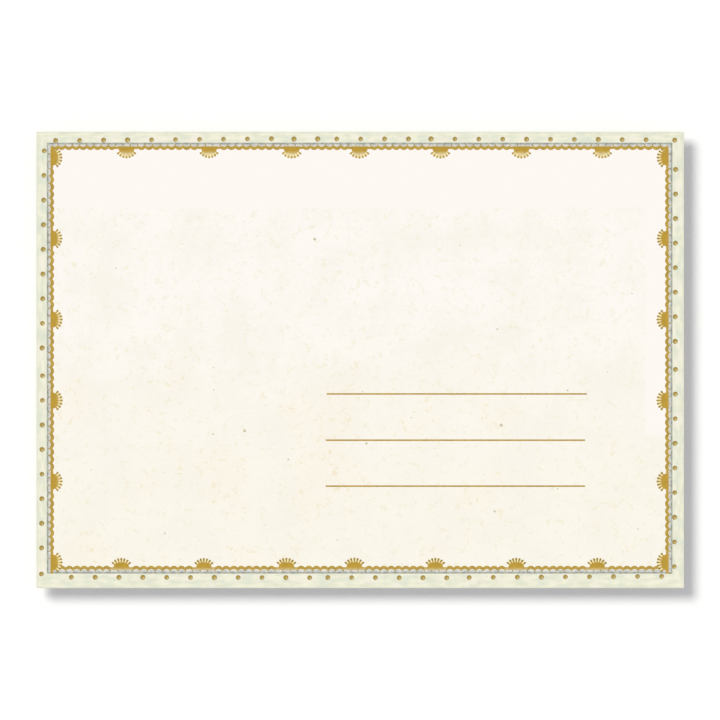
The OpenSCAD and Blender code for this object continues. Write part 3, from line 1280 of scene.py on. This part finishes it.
def white_stage(name, colour, glow, see_through_back):
    """A stage finish that only the camera sees, so that it neither shades nor lights the card."""
    material = bpy.data.materials.new(name)
    material.use_nodes = True
    tree = material.node_tree
    tree.nodes.clear()
    light_path = tree.nodes.new("ShaderNodeLightPath")
    shown = Field(tree, light_path.outputs["Is Camera Ray"])
    if see_through_back:
        behind = tree.nodes.new("ShaderNodeNewGeometry").outputs["Backfacing"]
        shown = shown * (1.0 - Field(tree, behind))
    clear = tree.nodes.new("ShaderNodeBsdfTransparent").outputs["BSDF"]
    matt = node(tree, "ShaderNodeBsdfDiffuse", {"Color": colour}).outputs["BSDF"]
    lamp = node(tree, "ShaderNodeEmission", {"Color": colour, "Strength": glow}).outputs["Emission"]
    bright = node(tree, "ShaderNodeAddShader", {0: matt, 1: lamp}).outputs["Shader"]
    seen = node(tree, "ShaderNodeMixShader", {0: shown, 1: clear, 2: bright}).outputs["Shader"]
    node(tree, "ShaderNodeOutputMaterial", {"Surface": seen})
    return material


def stage_plane(name, corners, material):
    mesh = new_mesh(name, corners, [], [(0, 1, 2, 3)])
    mesh.materials.append(material)
    placed(name, mesh)


def build_stage():
    """A white wall close behind the card, and a white floor at its foot."""
    square = block(-STAGE_REACH, -STAGE_REACH, STAGE_REACH, STAGE_REACH)
    white = ink(253, 253, 251)
    wall = [(x, BACKDROP_GAP * MM, z) for x, z in square]
    stage_plane("backdrop", wall, white_stage("backdrop_white", white, 0.06, True))
    ground = [(x, y, -HALF_H * MM) for x, y in square]
    stage_plane("floor", ground, white_stage("floor_white", white, 0.12, False))


def sun(name, toward, share, spread, tint=(1.0, 1.0, 1.0), bounces=4):
    """A soft sun that gives a face of the card this share of the light at which white is white."""
    lamp = bpy.data.lights.new(name, "SUN")
    lamp.color = tint
    direction = Vector(toward).normalized()
    lamp.energy = share * math.pi / abs(direction.y)
    lamp.angle = math.radians(spread)
    lamp.cycles.max_bounces = bounces
    placed(name, lamp).rotation_euler = direction.to_track_quat("Z", "Y").to_euler()


def light_card():
    """A key light and a weak fill on each side of the card, and an even light from all round."""
    sun("key", (-0.53, -1.0, 0.508), 0.55, 26.0, (1.0, 1.002, 0.936))
    sun("fill", (0.0, -1.0, 0.0), 0.05, 10.0, (1.0, 0.98, 1.7))
    sun("rear_key", (0.5, 1.0, 0.6), 0.42, 22.0, bounces=0)
    sun("rear_fill", (-0.3, 1.0, 0.1), 0.18, 30.0, bounces=0)
    world = bpy.data.worlds.new("studio")
    bpy.context.scene.world = world
    world.use_nodes = True
    world.cycles.sampling_method = "NONE"
    tree = world.node_tree
    path = tree.nodes.new("ShaderNodeLightPath").outputs
    seen = Field(tree, path["Is Camera Ray"]) + path["Is Glossy Ray"] + path["Is Transmission Ray"]
    backing = tree.nodes["Background"]
    backing.inputs["Color"].default_value = (1.0, 1.0, 1.0, 1.0)
    feed(tree, backing.inputs["Strength"], seen.least(1.0) * (1.0 - AMBIENT) + AMBIENT)


def set_camera():
    """A camera without perspective, straight in front of the address side."""
    data = bpy.data.cameras.new("camera")
    data.type = "ORTHO"
    data.ortho_scale = 2 * HALF_W * MM * PHOTO_SIDE / CARD_SPAN
    camera = placed("camera", data)
    camera.location = (-CARD_SHIFT * data.ortho_scale / PHOTO_SIDE, -CAMERA_DISTANCE, 0.0)
    camera.rotation_euler = (math.pi / 2, 0.0, 0.0)
    bpy.context.scene.camera = camera


# The card

set_camera()
build_stage()
light_card()

NODE_FINISHES = {
    "address_sheet": address_board(),
    "back_glue": dried_glue(),
    "picture_sheet": picture_paper(),
    "door_sheet": door_board(),
}
NODE_FINISHES["door_glue"] = NODE_FINISHES["back_glue"]
for name, solid in frame["nodes"].items():
    finish = NODE_FINISHES.get(name, NODE_FINISHES["door_sheet"])
    solid.data.materials.clear()
    solid.data.materials.append(finish)

border(
    "address", ADDRESS_FACE, ADDRESS_RULE_INSET, ADDRESS_EDGING_INSET,
    ADDRESS_FANS, ADDRESS_BEADS, "address_board",
)
half = ADDRESS_LINE_STROKE / 2
lines = [block(left, v - half, right, v + half) for left, right, v in ADDRESS_LINES]
line_mesh = plates("address_lines", lines, GOLD_TOP)
fix_to("address_lines", line_mesh, [GOLD], ADDRESS_FACE, CARD_BODY, "address_board")

border(
    "calendar", CALENDAR_FACE, CALENDAR_RULE_INSET, CALENDAR_EDGING_INSET,
    CALENDAR_FANS, calendar_beads(), "door_board",
)
panels = door_panels()
for name, panel in panels.items():
    print_door(name, panel)
singles = [panel for name, panel in panels.items() if name not in GATE_NAMES]
columns = sorted({round((left + right) / 2, 2) for _, left, _, right, _ in singles})
rows = sorted({round((bottom + top) / 2, 2) for _, _, bottom, _, top in singles})
gaps = [(a + b) / 2 for a, b in zip(columns, columns[1:])]
levels = [(a + b) / 2 for a, b in zip(rows, rows[1:])]
for name, outline, across, upward in (
    ("stars", star(3.2, 1.3, 8), gaps, rows[SKY_ROW:]),
    ("twinkles", star(1.9, 0.6, 4), columns, levels[SKY_ROW - 1:]),
):
    places = [(u, v, 0.0) for u in across for v in upward]
    stamp, piece = plates(name, [outline], GOLD_TOP), "calendar_" + name
    stamped(piece, stamp, places, GOLD, CALENDAR_FACE, "door_board", UNEVEN[name])
print_pictures(panels)

bpy.context.scene.view_settings.view_transform = "Standard"
